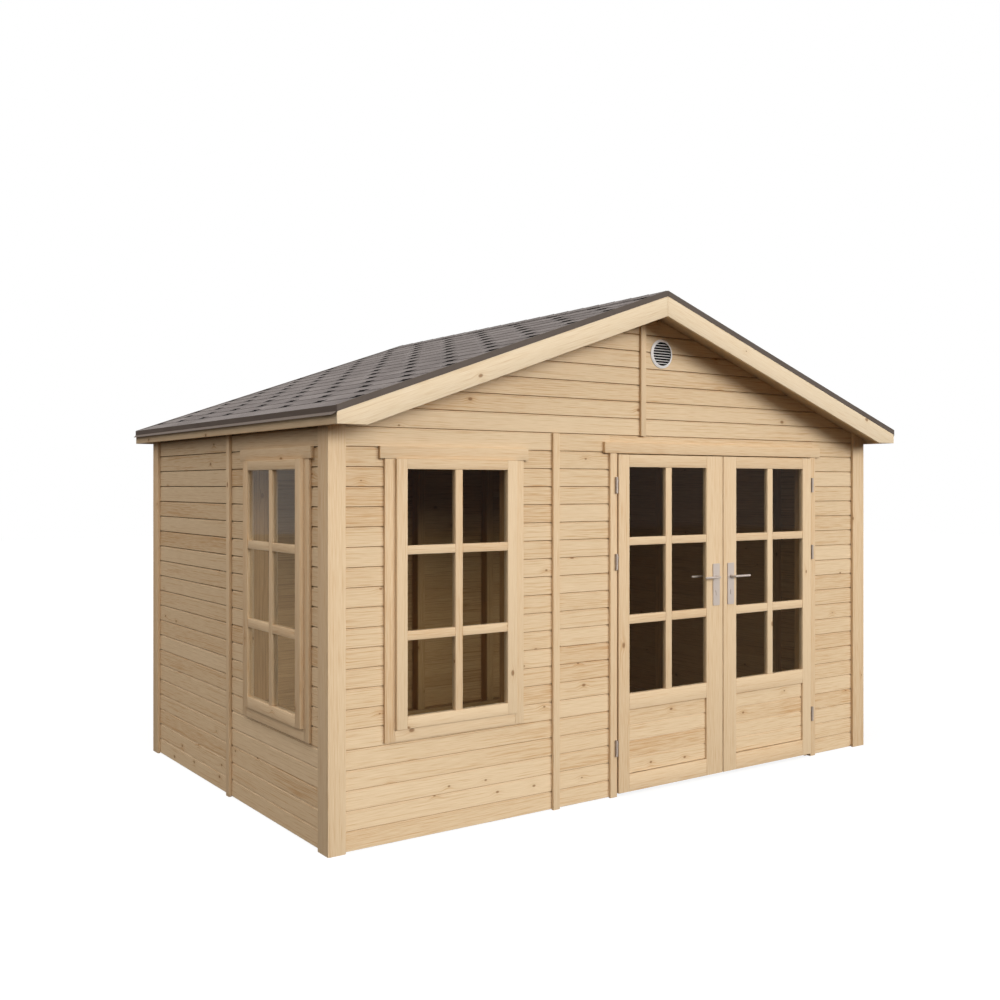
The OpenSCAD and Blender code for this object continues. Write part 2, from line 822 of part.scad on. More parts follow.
// Edging down the ends of the roof boards, bent out at its foot into a drip lip with slanted ends
module eave_edging() {
    out_x = eave_x + edging_t;
    tip_x = out_x + lip_out;
    end_y = roof_y + edging_t;
    top = layer(eave_x, roof_t);
    foot = top - eave_edging_h;
    tip_z = foot - lip_fall;
    color(dark_metal) both_sides() difference() {
        run_back([[eave_x, top], [eave_x, foot], [eave_x + lip_out, tip_z], [tip_x, tip_z],
            [out_x, foot], [out_x, top]], -end_y, end_y);
        both_ends() translate([0, 0, tip_z - overrun]) linear_extrude(top - tip_z + 2 * overrun)
            polygon([[out_x, -end_y - overrun], [tip_x + overrun, -end_y - overrun],
                [tip_x + overrun, lip_out + overrun - end_y], [out_x, -end_y]]);
    }
}

// Round vent: domed flange, sleeve through the boards and tilted slats across the opening.
// Here the boards' face is at z = 0 and the way out is +Z.

module vent_body() {
    sleeve_r = vent_bore_r + vent_wall_t;
    rotate_extrude() polygon([[vent_bore_r, -vent_sleeve_l], [sleeve_r, -vent_sleeve_l], [sleeve_r, 0],
        [vent_r, 0], [vent_r, vent_rim_t], [sleeve_r, vent_dome_t], [vent_bore_r, vent_dome_t]]);
}

module vent_louvres() {
    pitch_y = 2 * vent_bore_r / (vent_slats + 1);
    mid_z = vent_dome_t - slat_d * cos(slat_tilt) / 2 - slat_t;
    intersection() {
        translate([0, 0, -vent_sleeve_l]) cylinder(r = vent_bore_r + vent_wall_t / 2, h = 2 * vent_sleeve_l);
        for (i = [1 : vent_slats]) translate([0, i * pitch_y - vent_bore_r, mid_z])
            rotate([slat_tilt, 0, 0]) cube([2 * vent_r, slat_t, slat_d], center = true);
    }
}

module gable_vent() {
    color(white_plastic) at_vent() union() {
        vent_body();
        vent_louvres();
    }
}

front_wall_left();
front_wall_middle();
front_wall_over_door();
front_wall_right();
front_gable();
back_wall();
back_gable();
left_wall_front();
left_wall_back();
right_wall();
wall_studs();
wall_rails();
gable_rafters();
roof_beams();
end_corner_boards();
side_corner_boards();
battens();
front_window_casing();
front_window_sash();
front_window_glass();
left_window_casing();
left_window_sash();
left_window_glass();
door_frame();
door_casing();
frame_hinges();
left_door_leaf();
left_door_panel();
left_door_glass();
left_door_plates();
left_door_hinges();
left_lever();
right_door_leaf();
right_door_panel();
right_door_glass();
right_door_plates();
right_door_hinges();
right_lever();
roof_boards();
bargeboards();
eave_boards();
shingles();
ridge_cap();
gable_edging();
eave_edging();
gable_vent();
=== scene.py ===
import math
import random

import bmesh
import bpy
import numpy as np
from mathutils import Matrix, Vector


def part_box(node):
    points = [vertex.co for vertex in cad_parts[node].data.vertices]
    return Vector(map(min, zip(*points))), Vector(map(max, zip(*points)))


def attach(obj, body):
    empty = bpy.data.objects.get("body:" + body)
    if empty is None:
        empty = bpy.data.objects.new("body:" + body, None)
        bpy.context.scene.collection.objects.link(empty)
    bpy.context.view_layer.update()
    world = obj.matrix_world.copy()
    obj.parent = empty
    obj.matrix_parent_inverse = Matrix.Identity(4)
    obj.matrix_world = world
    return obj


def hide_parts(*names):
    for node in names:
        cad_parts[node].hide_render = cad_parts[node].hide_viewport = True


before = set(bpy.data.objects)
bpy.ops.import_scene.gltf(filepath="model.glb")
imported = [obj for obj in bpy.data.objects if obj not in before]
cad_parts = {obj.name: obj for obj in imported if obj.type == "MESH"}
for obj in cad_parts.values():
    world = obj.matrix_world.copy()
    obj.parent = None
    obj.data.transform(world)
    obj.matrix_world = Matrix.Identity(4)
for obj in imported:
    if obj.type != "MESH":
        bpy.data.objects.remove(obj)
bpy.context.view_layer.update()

# Weatherboards, in metres
BOARD_PITCH = 0.0925
FIRST_JOINT = 0.093
BOARD_LIP_SHARE = 0.5
BOARD_LAP = 0.008
BOARD_CLEAR = 0.0004
BOARD_SLOT = 0.0034
COVE_DEPTH = 0.0065
COVE_STEPS = 4
COVE_PROFILE = 0.12
LIP_EASE = 0.0012
PANEL_GAP = 0.0005
HEAD_BOARDS = 20
LIFT_REACH = 0.002
BOARD, BOARD_BACK, BOARD_JOINT = range(3)

# Joinery of the windows and doors
SASH_LAP = 0.022
SASH_STILE = 0.057
SASH_TOP_RAIL = 0.048
SASH_BOTTOM_RAIL = 0.056
WINDOW_BAR = 0.042
WINDOW_BAR_HEIGHTS = ((0.946, 0.990), (1.349, 1.391))
HINGE_STILE = 0.076
DOOR_GLASS = 0.584
LEAF_TOP_RAIL = 0.067
LEAF_BOTTOM_RAIL = 0.093
DOOR_PANEL = 0.351
LEAF_MID_RAIL = 0.084
DOOR_BAR = 0.046
DOOR_BAR_HEIGHTS = ((0.924, 0.972), (1.349, 1.393))
DOOR_PANEL_BOARDS = 4
BAR_SET_BACK = 0.0015
TIMBER_EASE = 0.0018
BAR_EASE = 0.003
EASE_STEPS = 2

# Roof
ROOF_PITCH = math.radians(19.4)
DECK_THICK = 0.018
ROOF_BOARD_W = 0.095
ROOF_BOARD_GROOVE = 0.003
ROOF_BOARD_GAP = 0.0003
LINING_DROP = 0.043
LINING_THICK = 0.018
EAVE_BOARD = 0.018
COURSE = 0.129
TAB_W = 0.390
NOTCH_W = 0.118
NOTCH_H = 0.040
HEADLAP = 0.052
SHINGLE_THICK = 0.0024
SHINGLE_LIFT = 0.0036
LOWEST_COURSE = 1.927
COURSES = 15
FIRST_NOTCH = -0.025
CAP_PIECE = 0.170
CAP_EXPOSED = 0.140
CAP_THICK = 0.002
CAP_LIFT = 0.0018
CAP_BEND = 0.012
CAP_BEND_STEPS = 3

# Gable vent
VENT_SLEEVE = 0.0693
VENT_BORE = 0.066
SCREEN_BACK = 0.006
SCREEN_THICK = 0.001
ROUND_SIDES = 48

# Timber's grain: scales per metre, along the fibres first
KNOT_CELLS = 4.6
KNOT_CELL_SCALE = (0.62, 1.0, 1.0)
KNOT_LEAST = 0.0035
KNOT_SPREAD = 0.008
KNOT_EDGE_SHARES = (0.45, 1.15)
KNOT_STRENGTH = 0.75
KNOT_DIP = 0.3
KNOT_COLOUR = "84592F"
HALO_EDGES = (0.004, 0.038)
HALO_BEND = 0.011
HALO_SHADE = 0.14
DRIFT_SCALE = (0.7, 6.5, 1.0)
DRIFT_BEND = 0.030
TONE_SCALE = (0.22, 2.1, 1.0)
TONE_SHARE = 0.62
RING_SCALE = (1.6, 150.0, 1.0)
LATEWOOD_EDGES = (0.32, 0.46)
LATEWOOD_MEAN = 0.25
FIBRE_SCALE = (9.0, 340.0, 1.0)
FIBRE_SHARE = 0.75
TIMBER_STOPS = (0.12, 0.5, 0.88)
TIMBER_ROUGHNESS = 0.55
TIMBER_ROUGHNESS_SPREAD = 0.22
TIMBER_BUMP = (0.0005, 0.35)
LOG_REACH = 40
NEXT_BOARD = (0.618, 0.377)

# Other finishes: scales per metre, bumps as height and strength
PANE_RIPPLE = (3.0, 3.0, 2.2)
PANE_SMEAR = (9.0, 9.0, 5.0)
PANE_ROUGHNESS = 0.05
PANE_BUMP = (0.0004, 0.25)
PANE_MIRROR = 0.04
SCHLICK_POWER = 5.0
FELT_TONE_SCALE = (2.3, 1.9, 1.0)
FELT_TONE_SHARE = 0.3
FELT_PATCHES = 14.0
FELT_PATCH_SHARE = 0.25
FELT_GRIT = 520.0
FELT_GRIT_SHARE = 0.9
FELT_STOPS = (0.1, 0.5, 0.9)
FELT_ROUGHNESS = 0.78
FELT_ROUGHNESS_SPREAD = 0.2
FELT_SPECULAR = 0.2
FELT_BUMP = (0.0008, 0.6)
METAL_CLOUDS = 6.0
METAL_CLOUD_SHARE = 0.6
METAL_MARK_SPREAD = 0.16
METAL_CLOUD_SPREAD = 0.12
METAL_BUMP = (0.0002, 0.2)
# Painted light on metal: where upward faces are lightened, and the lower specular that goes with it.
UPWARD_LIGHT_EDGES = (0.75, 0.3)
UPWARD_LIGHT_SHARE = 0.8
MATT_SPECULAR = 0.08
PLAIN_SPECULAR = 0.25
PLASTIC_SKIN = 900.0
PLASTIC_CLOUDS = 20.0
PLASTIC_ROUGHNESS = 0.38
PLASTIC_ROUGHNESS_SPREAD = 0.14
PLASTIC_SPECULAR = 0.45
PLASTIC_BUMP = (0.0002, 0.25)
# Where painted shade darkens the side walls of the vent's bore.
BORE_EDGES = (0.0001, 0.0004)
SIDE_EDGES = (0.4, 0.15)

# Angles, and how near counts as the same
FLAT = math.radians(1.0)
SHARP = math.radians(30.0)
WELD = 0.00001
HAIR = 0.00005
SQUARE_ON = 0.9
QUARTER = math.radians(90.0)
WHITE = (1.0, 1.0, 1.0, 1.0)


# Shader sums

def plug(socket, value):
    """Links a flow into a socket, or sets a plain value on it."""
    if isinstance(value, Flow):
        socket.id_data.links.new(value.socket, socket)
    else:
        socket.default_value = value


class Flow:
    """A shader socket that adds its own Math nodes when it stands in a sum."""

    def __init__(self, socket):
        self.socket = socket

    def node(self, kind, settings=None, sockets=None, out=0):
        """Any other node: its settings first, then the values or links of its sockets."""
        made = self.socket.id_data.nodes.new(kind)
        for key, value in (settings or {}).items():
            if key == "stops":
                lay_stops(made.color_ramp, value)
            else:
                setattr(made, key, value)
        for key, value in (sockets or {}).items():
            plug(made.inputs[key], value)
        return Flow(made.outputs[out])

    def also(self, out):
        """Another output of the node that this flow comes from."""
        return Flow(self.socket.node.outputs[out])

    def math(self, operation, first, second=0.0):
        return self.node("ShaderNodeMath", {"operation": operation}, {0: first, 1: second})

    def __add__(self, other):
        return self.math("ADD", self, other)

    def __sub__(self, other):
        return self.math("SUBTRACT", self, other)

    def __rsub__(self, other):
        return self.math("SUBTRACT", other, self)

    def __mul__(self, other):
        return self.math("MULTIPLY", self, other)

    def __truediv__(self, other):
        return self.math("DIVIDE", self, other)

    __radd__ = __add__
    __rmul__ = __mul__


def lay_stops(ramp, stops):
    while len(ramp.elements) < len(stops):
        ramp.elements.new(1.0)
    for element, (place, colour) in zip(ramp.elements, stops):
        element.position = place
        element.color = colour


def paint(text):
    """The linear colour of a six-digit screen colour."""
    parts = [int(text[i:i + 2], 16) / 255 for i in (0, 2, 4)]
    return tuple(p / 12.92 if p <= 0.04045 else ((p + 0.055) / 1.055) ** 2.4 for p in parts) + (1.0,)


def new_finish(name, settings):
    """A material, its shader with plain values set, and Object coordinates to build from."""
    made = bpy.data.materials.new(name)
    made.use_nodes = True
    shader = made.node_tree.nodes["Principled BSDF"]
    for key, value in settings.items():
        shader.inputs[key].default_value = value
    start = Flow(made.node_tree.nodes.new("ShaderNodeTexCoord").outputs["Object"])
    return made, shader, start


def stretched_noise(source, scale, detail, dimensions="2D"):
    """Noise over a source vector that is stretched by a scale for each axis."""
    laid = source.node("ShaderNodeMapping", {}, {"Vector": source, "Scale": scale})
    return laid.node("ShaderNodeTexNoise", {"noise_dimensions": dimensions},
                     {"Vector": laid, "Scale": 1.0, "Detail": detail})


def even_noise(source, scale, detail):
    """Noise of one scale in all directions."""
    return stretched_noise(source, (scale, scale, scale), detail, "3D")


def fade(value, start, end):
    """A smooth step that is 1 at start and 0 at end."""
    ends = {"From Min": start, "From Max": end, "To Min": 1.0, "To Max": 0.0}
    return value.node("ShaderNodeMapRange", {"interpolation_type": "SMOOTHSTEP"},
                      {"Value": value, **ends})


def blended(share, first, second):
    """Two colours mixed by a share."""
    return share.node("ShaderNodeMix", {"data_type": "RGBA"},
                      {0: share, 6: first, 7: second}, out=2)


def ramped(shade, places, colours):
    """A shade turned into a colour by a ramp of screen colours."""
    stops = tuple(zip(places, map(paint, colours)))
    return shade.node("ShaderNodeValToRGB", {"stops": stops}, {0: shade})


def bumped(shader, height, distance, strength):
    bump = height.node("ShaderNodeBump", {},
                       {"Height": height, "Distance": distance, "Strength": strength})
    plug(shader.inputs["Normal"], bump)


# Finishes

def timber_finish(name, pale, plain, warm, ring_share, knot_share):
    """Planed softwood: tone from board to board, growth rings, fibres and scattered knots."""
    made, shader, start = new_finish(name, {"Specular IOR Level": PLAIN_SPECULAR})
    grain = start.node("ShaderNodeUVMap", {"uv_map": "Grain"})
    laid = grain.node("ShaderNodeMapping", {}, {"Vector": grain, "Scale": KNOT_CELL_SCALE})
    cells = laid.node("ShaderNodeTexVoronoi", {"voronoi_dimensions": "2D"},
                      {"Vector": laid, "Scale": KNOT_CELLS, "Randomness": 1.0})
    luck = cells.node("ShaderNodeSeparateColor", {}, {0: cells.also("Color")})
    present = luck.math("LESS_THAN", luck, knot_share)
    radius = luck.also("Green") * KNOT_SPREAD + KNOT_LEAST
    away = cells / KNOT_CELLS
    heart = fade(away / radius, *KNOT_EDGE_SHARES) * present
    halo = fade(away, *HALO_EDGES) * present

    split = grain.node("ShaderNodeSeparateXYZ", {}, {0: grain})
    drift = stretched_noise(grain, DRIFT_SCALE, 1.0)
    across = split.also("Y") + halo * HALO_BEND + drift * DRIFT_BEND
    bent = across.node("ShaderNodeCombineXYZ", {}, {0: split, 1: across})
    tone = stretched_noise(grain, TONE_SCALE, 1.0)
    rings = stretched_noise(bent, RING_SCALE, 2.0)
    late = fade(rings, *LATEWOOD_EDGES)
    fibres = stretched_noise(bent, FIBRE_SCALE, 2.0)
    figure = (late - LATEWOOD_MEAN) * ring_share + (fibres - 0.5) * FIBRE_SHARE
    shade = (tone - 0.5) * TONE_SHARE + figure + halo * HALO_SHADE + 0.5
    wood = ramped(shade, TIMBER_STOPS, (pale, plain, warm))
    plug(shader.inputs["Base Color"], blended(heart * KNOT_STRENGTH, wood, paint(KNOT_COLOUR)))
    plug(shader.inputs["Roughness"], fibres * TIMBER_ROUGHNESS_SPREAD + TIMBER_ROUGHNESS)
    bumped(shader, (rings + fibres) * 0.5 - heart * KNOT_DIP, *TIMBER_BUMP)
    return made


def pane_finish():
    """Clear glass: mostly see-through, with the sky in it where it is seen at a slant."""
    mirror = {"Base Color": paint("FFF4E6"), "Metallic": 1.0}
    made, shader, start = new_finish("window_glass", mirror)
    ripple = stretched_noise(start, PANE_RIPPLE, 1.0, "3D")
    smear = stretched_noise(start, PANE_SMEAR, 3.0, "3D")
    plug(shader.inputs["Roughness"], smear * PANE_ROUGHNESS)
    bumped(shader, ripple, *PANE_BUMP)
    clear = start.node("ShaderNodeBsdfTransparent", {}, {"Color": paint("FDFEFD")})
    facing = start.node("ShaderNodeLayerWeight", {}, {"Blend": 0.5}, out="Facing")
    slant = facing.math("POWER", facing, SCHLICK_POWER) * (1.0 - PANE_MIRROR) + PANE_MIRROR
    mixed = start.node("ShaderNodeMixShader", {}, {0: slant, 1: clear, 2: Flow(shader.outputs[0])})
    plug(made.node_tree.nodes["Material Output"].inputs["Surface"], mixed)
    return made


def felt_finish(name, dark, plain, light):
    """Mineral-surfaced felt: crushed grit, and a tone for each tab from its place on the lay."""
    made, shader, start = new_finish(name, {"Specular IOR Level": FELT_SPECULAR})
    lay = start.node("ShaderNodeUVMap", {"uv_map": "Grain"})
    tone = stretched_noise(lay, FELT_TONE_SCALE, 0.0)
    patches = even_noise(start, FELT_PATCHES, 3.0)
    grit = even_noise(start, FELT_GRIT, 2.0)
    blotch = (tone - 0.5) * FELT_TONE_SHARE + (patches - 0.5) * FELT_PATCH_SHARE
    shade = blotch + (grit - 0.5) * FELT_GRIT_SHARE + 0.5
    plug(shader.inputs["Base Color"], ramped(shade, FELT_STOPS, (dark, plain, light)))
    plug(shader.inputs["Roughness"], grit * FELT_ROUGHNESS_SPREAD + FELT_ROUGHNESS)
    bumped(shader, grit, *FELT_BUMP)
    return made


def metal_finish(name, base, mark, metallic, roughness, streak, painted_shading=None):
    """Metal: a faint cloudiness, fine marks along one way, and painted light that lightens what faces
    up, where a colour for it is given.
    """
    specular = MATT_SPECULAR if painted_shading else PLAIN_SPECULAR
    made, shader, start = new_finish(name, {"Metallic": metallic, "Specular IOR Level": specular})
    cloud = even_noise(start, METAL_CLOUDS, 3.0)
    marks = stretched_noise(start, streak, 2.0, "3D")
    wear = cloud * METAL_CLOUD_SHARE + marks * (1.0 - METAL_CLOUD_SHARE)
    colour = blended(wear, paint(base), paint(mark))
    # Painted light: faces that turn upwards are lightened towards the given colour.
    if painted_shading:
        outward = start.node("ShaderNodeNewGeometry", out="Normal")
        up = outward.node("ShaderNodeSeparateXYZ", {}, {0: outward}).also("Z")
        colour = blended(fade(up, *UPWARD_LIGHT_EDGES) * UPWARD_LIGHT_SHARE, colour, paint(painted_shading))
    plug(shader.inputs["Base Color"], colour)
    uneven = (marks - 0.5) * METAL_MARK_SPREAD + (cloud - 0.5) * METAL_CLOUD_SPREAD
    plug(shader.inputs["Roughness"], uneven + roughness)
    bumped(shader, marks, *METAL_BUMP)
    return made


def plastic_finish(name, base, shaded, middle, bore, painted_shading):
    """Moulded plastic with a fine grained skin, and painted shade on the side walls of its round
    opening.
    """
    made, shader, start = new_finish(name, {"Specular IOR Level": PLASTIC_SPECULAR})
    vector = "ShaderNodeVectorMath"
    spread = start.node(vector, {"operation": "SUBTRACT"}, {0: start, 1: middle})
    level = start.node(vector, {"operation": "MULTIPLY"}, {0: spread, 1: (1.0, 0.0, 1.0)})
    away = start.node(vector, {"operation": "LENGTH"}, {0: level}, out="Value")
    skin = even_noise(start, PLASTIC_SKIN, 2.0)
    cloud = even_noise(start, PLASTIC_CLOUDS, 2.0)
    outward = start.node("ShaderNodeNewGeometry", out="Normal")
    sideways = outward.node("ShaderNodeSeparateXYZ", {}, {0: outward})
    steep = fade(sideways.math("ABSOLUTE", sideways), *SIDE_EDGES)
    # Painted shade: the bore's sideways-facing walls are darkened towards the given colour.
    inside = fade(away, *(bore + edge for edge in BORE_EDGES))
    skin_colour = blended(cloud, paint(base), paint(shaded))
    plug(shader.inputs["Base Color"], blended(inside * steep, skin_colour, paint(painted_shading)))
    plug(shader.inputs["Roughness"], cloud * PLASTIC_ROUGHNESS_SPREAD + PLASTIC_ROUGHNESS)
    bumped(shader, skin, *PLASTIC_BUMP)
    return made


boards = timber_finish("weatherboard", "E6CDA9", "DABF99", "C59B6C", ring_share=0.22, knot_share=0.6)
trim = timber_finish("planed_trim", "E6CDA9", "DCC09A", "CCA477", ring_share=0.17, knot_share=0.4)
pale_trim = timber_finish("pale_trim", "F0DEC2", "E8D2B0", "D8BA92", ring_share=0.16, knot_share=0.4)
framing = timber_finish("sawn_framing", "CAA270", "B88E5B", "A07546", ring_share=0.35, knot_share=0.4)
# Painted shade: a darker wood on the faces inside each board joint, so the slot under each lip reads
# darker.
painted_joint_shade = timber_finish("painted_joint_shade", "B48E64", "A88258", "96724A",
                            ring_share=0.3, knot_share=0.0)
# Painted shade: a darker copy of the joint shade, for the walls that face the sides.
shaded_joint = timber_finish("shaded_joint", "7A5A3A", "6C4E30", "5C4228",
                             ring_share=0.3, knot_share=0.0)
glass = pane_finish()
felt = felt_finish("shingle_grit", "605C5A", "8F8987", "B6B0AD")
# Near-black painted shade for the notches between tabs and for what shows through them.
painted_shade_felt = felt_finish("painted_shade_felt", "060606", "0B0A0A", "141212")
# The edging's upward faces, its drip lip among them, carry painted light.
edging = metal_finish("dark_edging", "685E56", "5A5049", metallic=0.0, roughness=0.55,
                      streak=(40.0, 6.0, 40.0), painted_shading="8C827A")
nickel = metal_finish("satin_nickel", "D6CAC1", "C5B8AE", metallic=0.3, roughness=0.34,
                      streak=(30.0, 30.0, 400.0))
hinge_steel = metal_finish("hinge_steel", "C0B4AB", "A89C93", metallic=0.4, roughness=0.42,
                           streak=(60.0, 60.0, 200.0))
# Near-black painted shade for the disc behind the vent's louvres.
painted_shade_sheet = metal_finish("painted_shade_screen", "14110F", "0C0A09", metallic=0.0, roughness=0.8,
                           streak=(900.0, 900.0, 900.0))
vent_middle = sum(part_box("gable_vent"), Vector()) / 2
# The vent's bore carries near-black painted shade on its side walls.
vent_plastic = plastic_finish("vent_plastic", "EDEBE9", "E2DFDC", vent_middle, VENT_BORE,
                              painted_shading="2A2622")


# Bench work

def wake(piece):
    """Selects one object alone and makes it the active one."""
    bpy.ops.object.select_all(action="DESELECT")
    piece.select_set(True)
    bpy.context.view_layer.objects.active = piece


def edit(piece):
    wake(piece)
    bpy.ops.object.mode_set(mode="EDIT")
    bpy.ops.mesh.select_all(action="SELECT")


def leave():
    bpy.ops.object.mode_set(mode="OBJECT")


def settle(piece):
    """Puts an object's place, turn and scale into its mesh."""
    wake(piece)
    bpy.ops.object.transform_apply(location=True, rotation=True, scale=True)


def apply(piece, kind, **settings):
    """Adds a modifier, sets it and applies it."""
    wake(piece)
    modifier = piece.modifiers.new("work", kind)
    for key, value in settings.items():
        setattr(modifier, key, value)
    bpy.ops.object.modifier_apply(modifier=modifier.name)


def block(low, high):
    """A plain block between two corners, to be shaped."""
    bpy.ops.object.select_all(action="DESELECT")
    low, high = Vector(low), Vector(high)
    bpy.ops.mesh.primitive_cube_add(size=1.0, location=(low + high) / 2, scale=high - low)
    piece = bpy.context.object
    settle(piece)
    return piece


def disc(radius, depth, place):
    """A round blank that faces the front."""
    bpy.ops.object.select_all(action="DESELECT")
    bpy.ops.mesh.primitive_cylinder_add(vertices=ROUND_SIDES, radius=radius, depth=depth,
                                        location=place, rotation=(QUARTER, 0, 0))
    piece = bpy.context.object
    settle(piece)
    return piece


def pick(piece, kind, test):
    """In edit mode, selects the faces, edges or verts whose middle passes the test."""
    bpy.ops.mesh.select_mode(type={"faces": "FACE", "edges": "EDGE", "verts": "VERT"}[kind])
    bpy.ops.mesh.select_all(action="DESELECT")
    shape = bmesh.from_edit_mesh(piece.data)
    for part in getattr(shape, kind):
        corners = [part] if kind == "verts" else part.verts
        if test(sum((corner.co for corner in corners), Vector()) / len(corners)):
            part.select_set(True)
    bmesh.update_edit_mesh(piece.data)


def near(value, target):
    return abs(value - target) < HAIR


def push(x, y, z):
    bpy.ops.mesh.extrude_region_move(TRANSFORM_OT_translate={"value": (x, y, z)})


def saw(piece, point, normal):
    """Saws a piece along a plane and drops what lies on the normal's side."""
    edit(piece)
    bpy.ops.mesh.bisect(plane_co=point, plane_no=normal, use_fill=True, clear_outer=True)
    leave()


def cut_out(piece, cutter):
    """Takes the cutter's shape out of the piece, and removes the cutter."""
    apply(piece, "BOOLEAN", object=cutter, operation="DIFFERENCE", solver="EXACT")
    bpy.data.objects.remove(cutter)


def repeat(piece, count, step):
    """Copies a piece along a step. Each copy takes its grain from another place on the log."""
    along, across = NEXT_BOARD
    apply(piece, "ARRAY", count=count, use_relative_offset=False, use_constant_offset=True,
          constant_offset_displace=step, offset_u=along, offset_v=across)


def join(parts):
    bpy.ops.object.select_all(action="DESELECT")
    for part in parts:
        part.select_set(True)
    bpy.context.view_layer.objects.active = parts[0]
    bpy.ops.object.join()
    return bpy.context.object


def copied(piece):
    twin = piece.copy()
    twin.data = piece.data.copy()
    bpy.context.scene.collection.objects.link(twin)
    return twin


def lay_grain(piece, along, draw):
    """Writes the Grain map in metres, from a random place: U along the fibres, V round them."""
    along = Vector(along)
    side = along.cross((0, 0, 1) if abs(along.z) < SQUARE_ON else (1, 0, 0)).normalized()
    round_way = side + along.cross(side)
    start = Vector((draw.uniform(0, LOG_REACH), draw.uniform(0, LOG_REACH)))
    layer = piece.data.uv_layers.get("Grain") or piece.data.uv_layers.new(name="Grain")
    for loop in piece.data.loops:
        place = piece.data.vertices[loop.vertex_index].co
        layer.data[loop.index].uv = start + Vector((place.dot(along), place.dot(round_way)))


def long_axis(piece):
    """The direction in which a timber is longest."""
    points = np.array([corner.co for corner in piece.data.vertices])
    axis = np.linalg.svd(points - points.mean(0))[2][0]
    return Vector(axis * (1 if axis.sum() > 0 else -1)).normalized()


def ease_edges(piece, width, steps=EASE_STEPS):
    """Takes the sharpness off all the arrises of a piece."""
    apply(piece, "BEVEL", width=width, segments=steps, limit_method="ANGLE", angle_limit=SHARP)


def timber(low, high, draw, ease=TIMBER_EASE):
    """One planed timber with eased edges and its grain along its length."""
    piece = block(low, high)
    ease_edges(piece, ease)
    lay_grain(piece, long_axis(piece), draw)
    return piece


def smooth(piece):
    wake(piece)
    bpy.ops.object.shade_smooth_by_angle(angle=SHARP)


def dress(piece, name, finish, body="shed", nodes=()):
    """Names a piece, gives it its finish, and sets it on its body in place of its nodes."""
    piece.name = name
    piece.data.name = name
    if finish:
        piece.data.materials.clear()
        piece.data.materials.append(finish)
    smooth(piece)
    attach(piece, body)
    if nodes:
        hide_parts(*nodes)


def timbers_of(node, finish, lift=None):
    """A node's plain solids as dressed timbers. Their ends at one level can be lifted to another."""
    draw = random.Random(node)
    piece = bpy.data.objects.new(node + "_timber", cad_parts[node].data.copy())
    bpy.context.scene.collection.objects.link(piece)
    edit(piece)
    bpy.ops.mesh.customdata_custom_splitnormals_clear()
    bpy.ops.mesh.remove_doubles(threshold=WELD)
    bpy.ops.mesh.dissolve_limited(angle_limit=FLAT)
    if lift:
        level, new_level = lift
        pick(piece, "verts", lambda at: abs(at.z - level) < LIFT_REACH)
        bpy.ops.transform.translate(value=(0, 0, new_level - level))
    bpy.ops.mesh.separate(type="LOOSE")
    leave()
    parts = list(bpy.context.selected_objects)
    for part in parts:
        ease_edges(part, TIMBER_EASE)
        lay_grain(part, long_axis(part), draw)
    dress(join(parts), node + "_timber", finish, nodes=[node])


# Walls

def weatherboard(x0, x1, face, z0, height, thick, draw):
    """One shiplap board along X: a lip over the board below, a tongue behind, a cove at its top."""
    back_of_lip = face + thick * BOARD_LIP_SHARE
    lap_top = z0 + BOARD_LAP + BOARD_CLEAR
    top = z0 + height
    piece = block((x0, face, z0 + BOARD_SLOT), (x1, back_of_lip, top))
    edit(piece)
    bpy.ops.mesh.bisect(plane_co=(0, 0, lap_top), plane_no=(0, 0, 1))
    pick(piece, "faces", lambda at: near(at.y, back_of_lip) and at.z > lap_top)
    push(0, thick * (1 - BOARD_LIP_SHARE), 0)
    pick(piece, "faces", lambda at: at.y > back_of_lip + HAIR and near(at.z, top))
    push(0, 0, BOARD_LAP)
    pick(piece, "verts", lambda at: near(at.y, back_of_lip) and at.z > top + HAIR)
    bpy.ops.transform.translate(value=(0, BOARD_CLEAR, 0))
    pick(piece, "edges", lambda at: near(at.y, face) and near(at.z, z0 + BOARD_SLOT))
    bpy.ops.mesh.bevel(offset=LIP_EASE, segments=1, affect="EDGES")
    pick(piece, "edges", lambda at: near(at.y, face) and near(at.z, top))
    bpy.ops.mesh.bevel(offset=COVE_DEPTH, segments=COVE_STEPS, profile=COVE_PROFILE, affect="EDGES")
    leave()
    # The faces inside each joint, under the lip and behind the cove, take the painted joint shade.
    for finish in (boards, framing, painted_joint_shade):
        piece.data.materials.append(finish)
    for side in piece.data.polygons:
        at_end = abs(side.normal.x) >= SQUARE_ON
        behind_cove = side.center.y > face + COVE_DEPTH and not at_end
        if side.normal.y > SQUARE_ON:
            side.material_index = BOARD_BACK
        elif side.normal.z < -SQUARE_ON or behind_cove:
            side.material_index = BOARD_JOINT
        else:
            side.material_index = BOARD
    lay_grain(piece, (1, 0, 0), draw)
    return piece


def turned_box(low, high, angle):
    """The box round another one that is turned about the shed's upright axis."""
    turn = Matrix.Rotation(angle, 3, "Z")
    ends = [turn @ low, turn @ high]
    return Vector(map(min, *ends)), Vector(map(max, *ends))


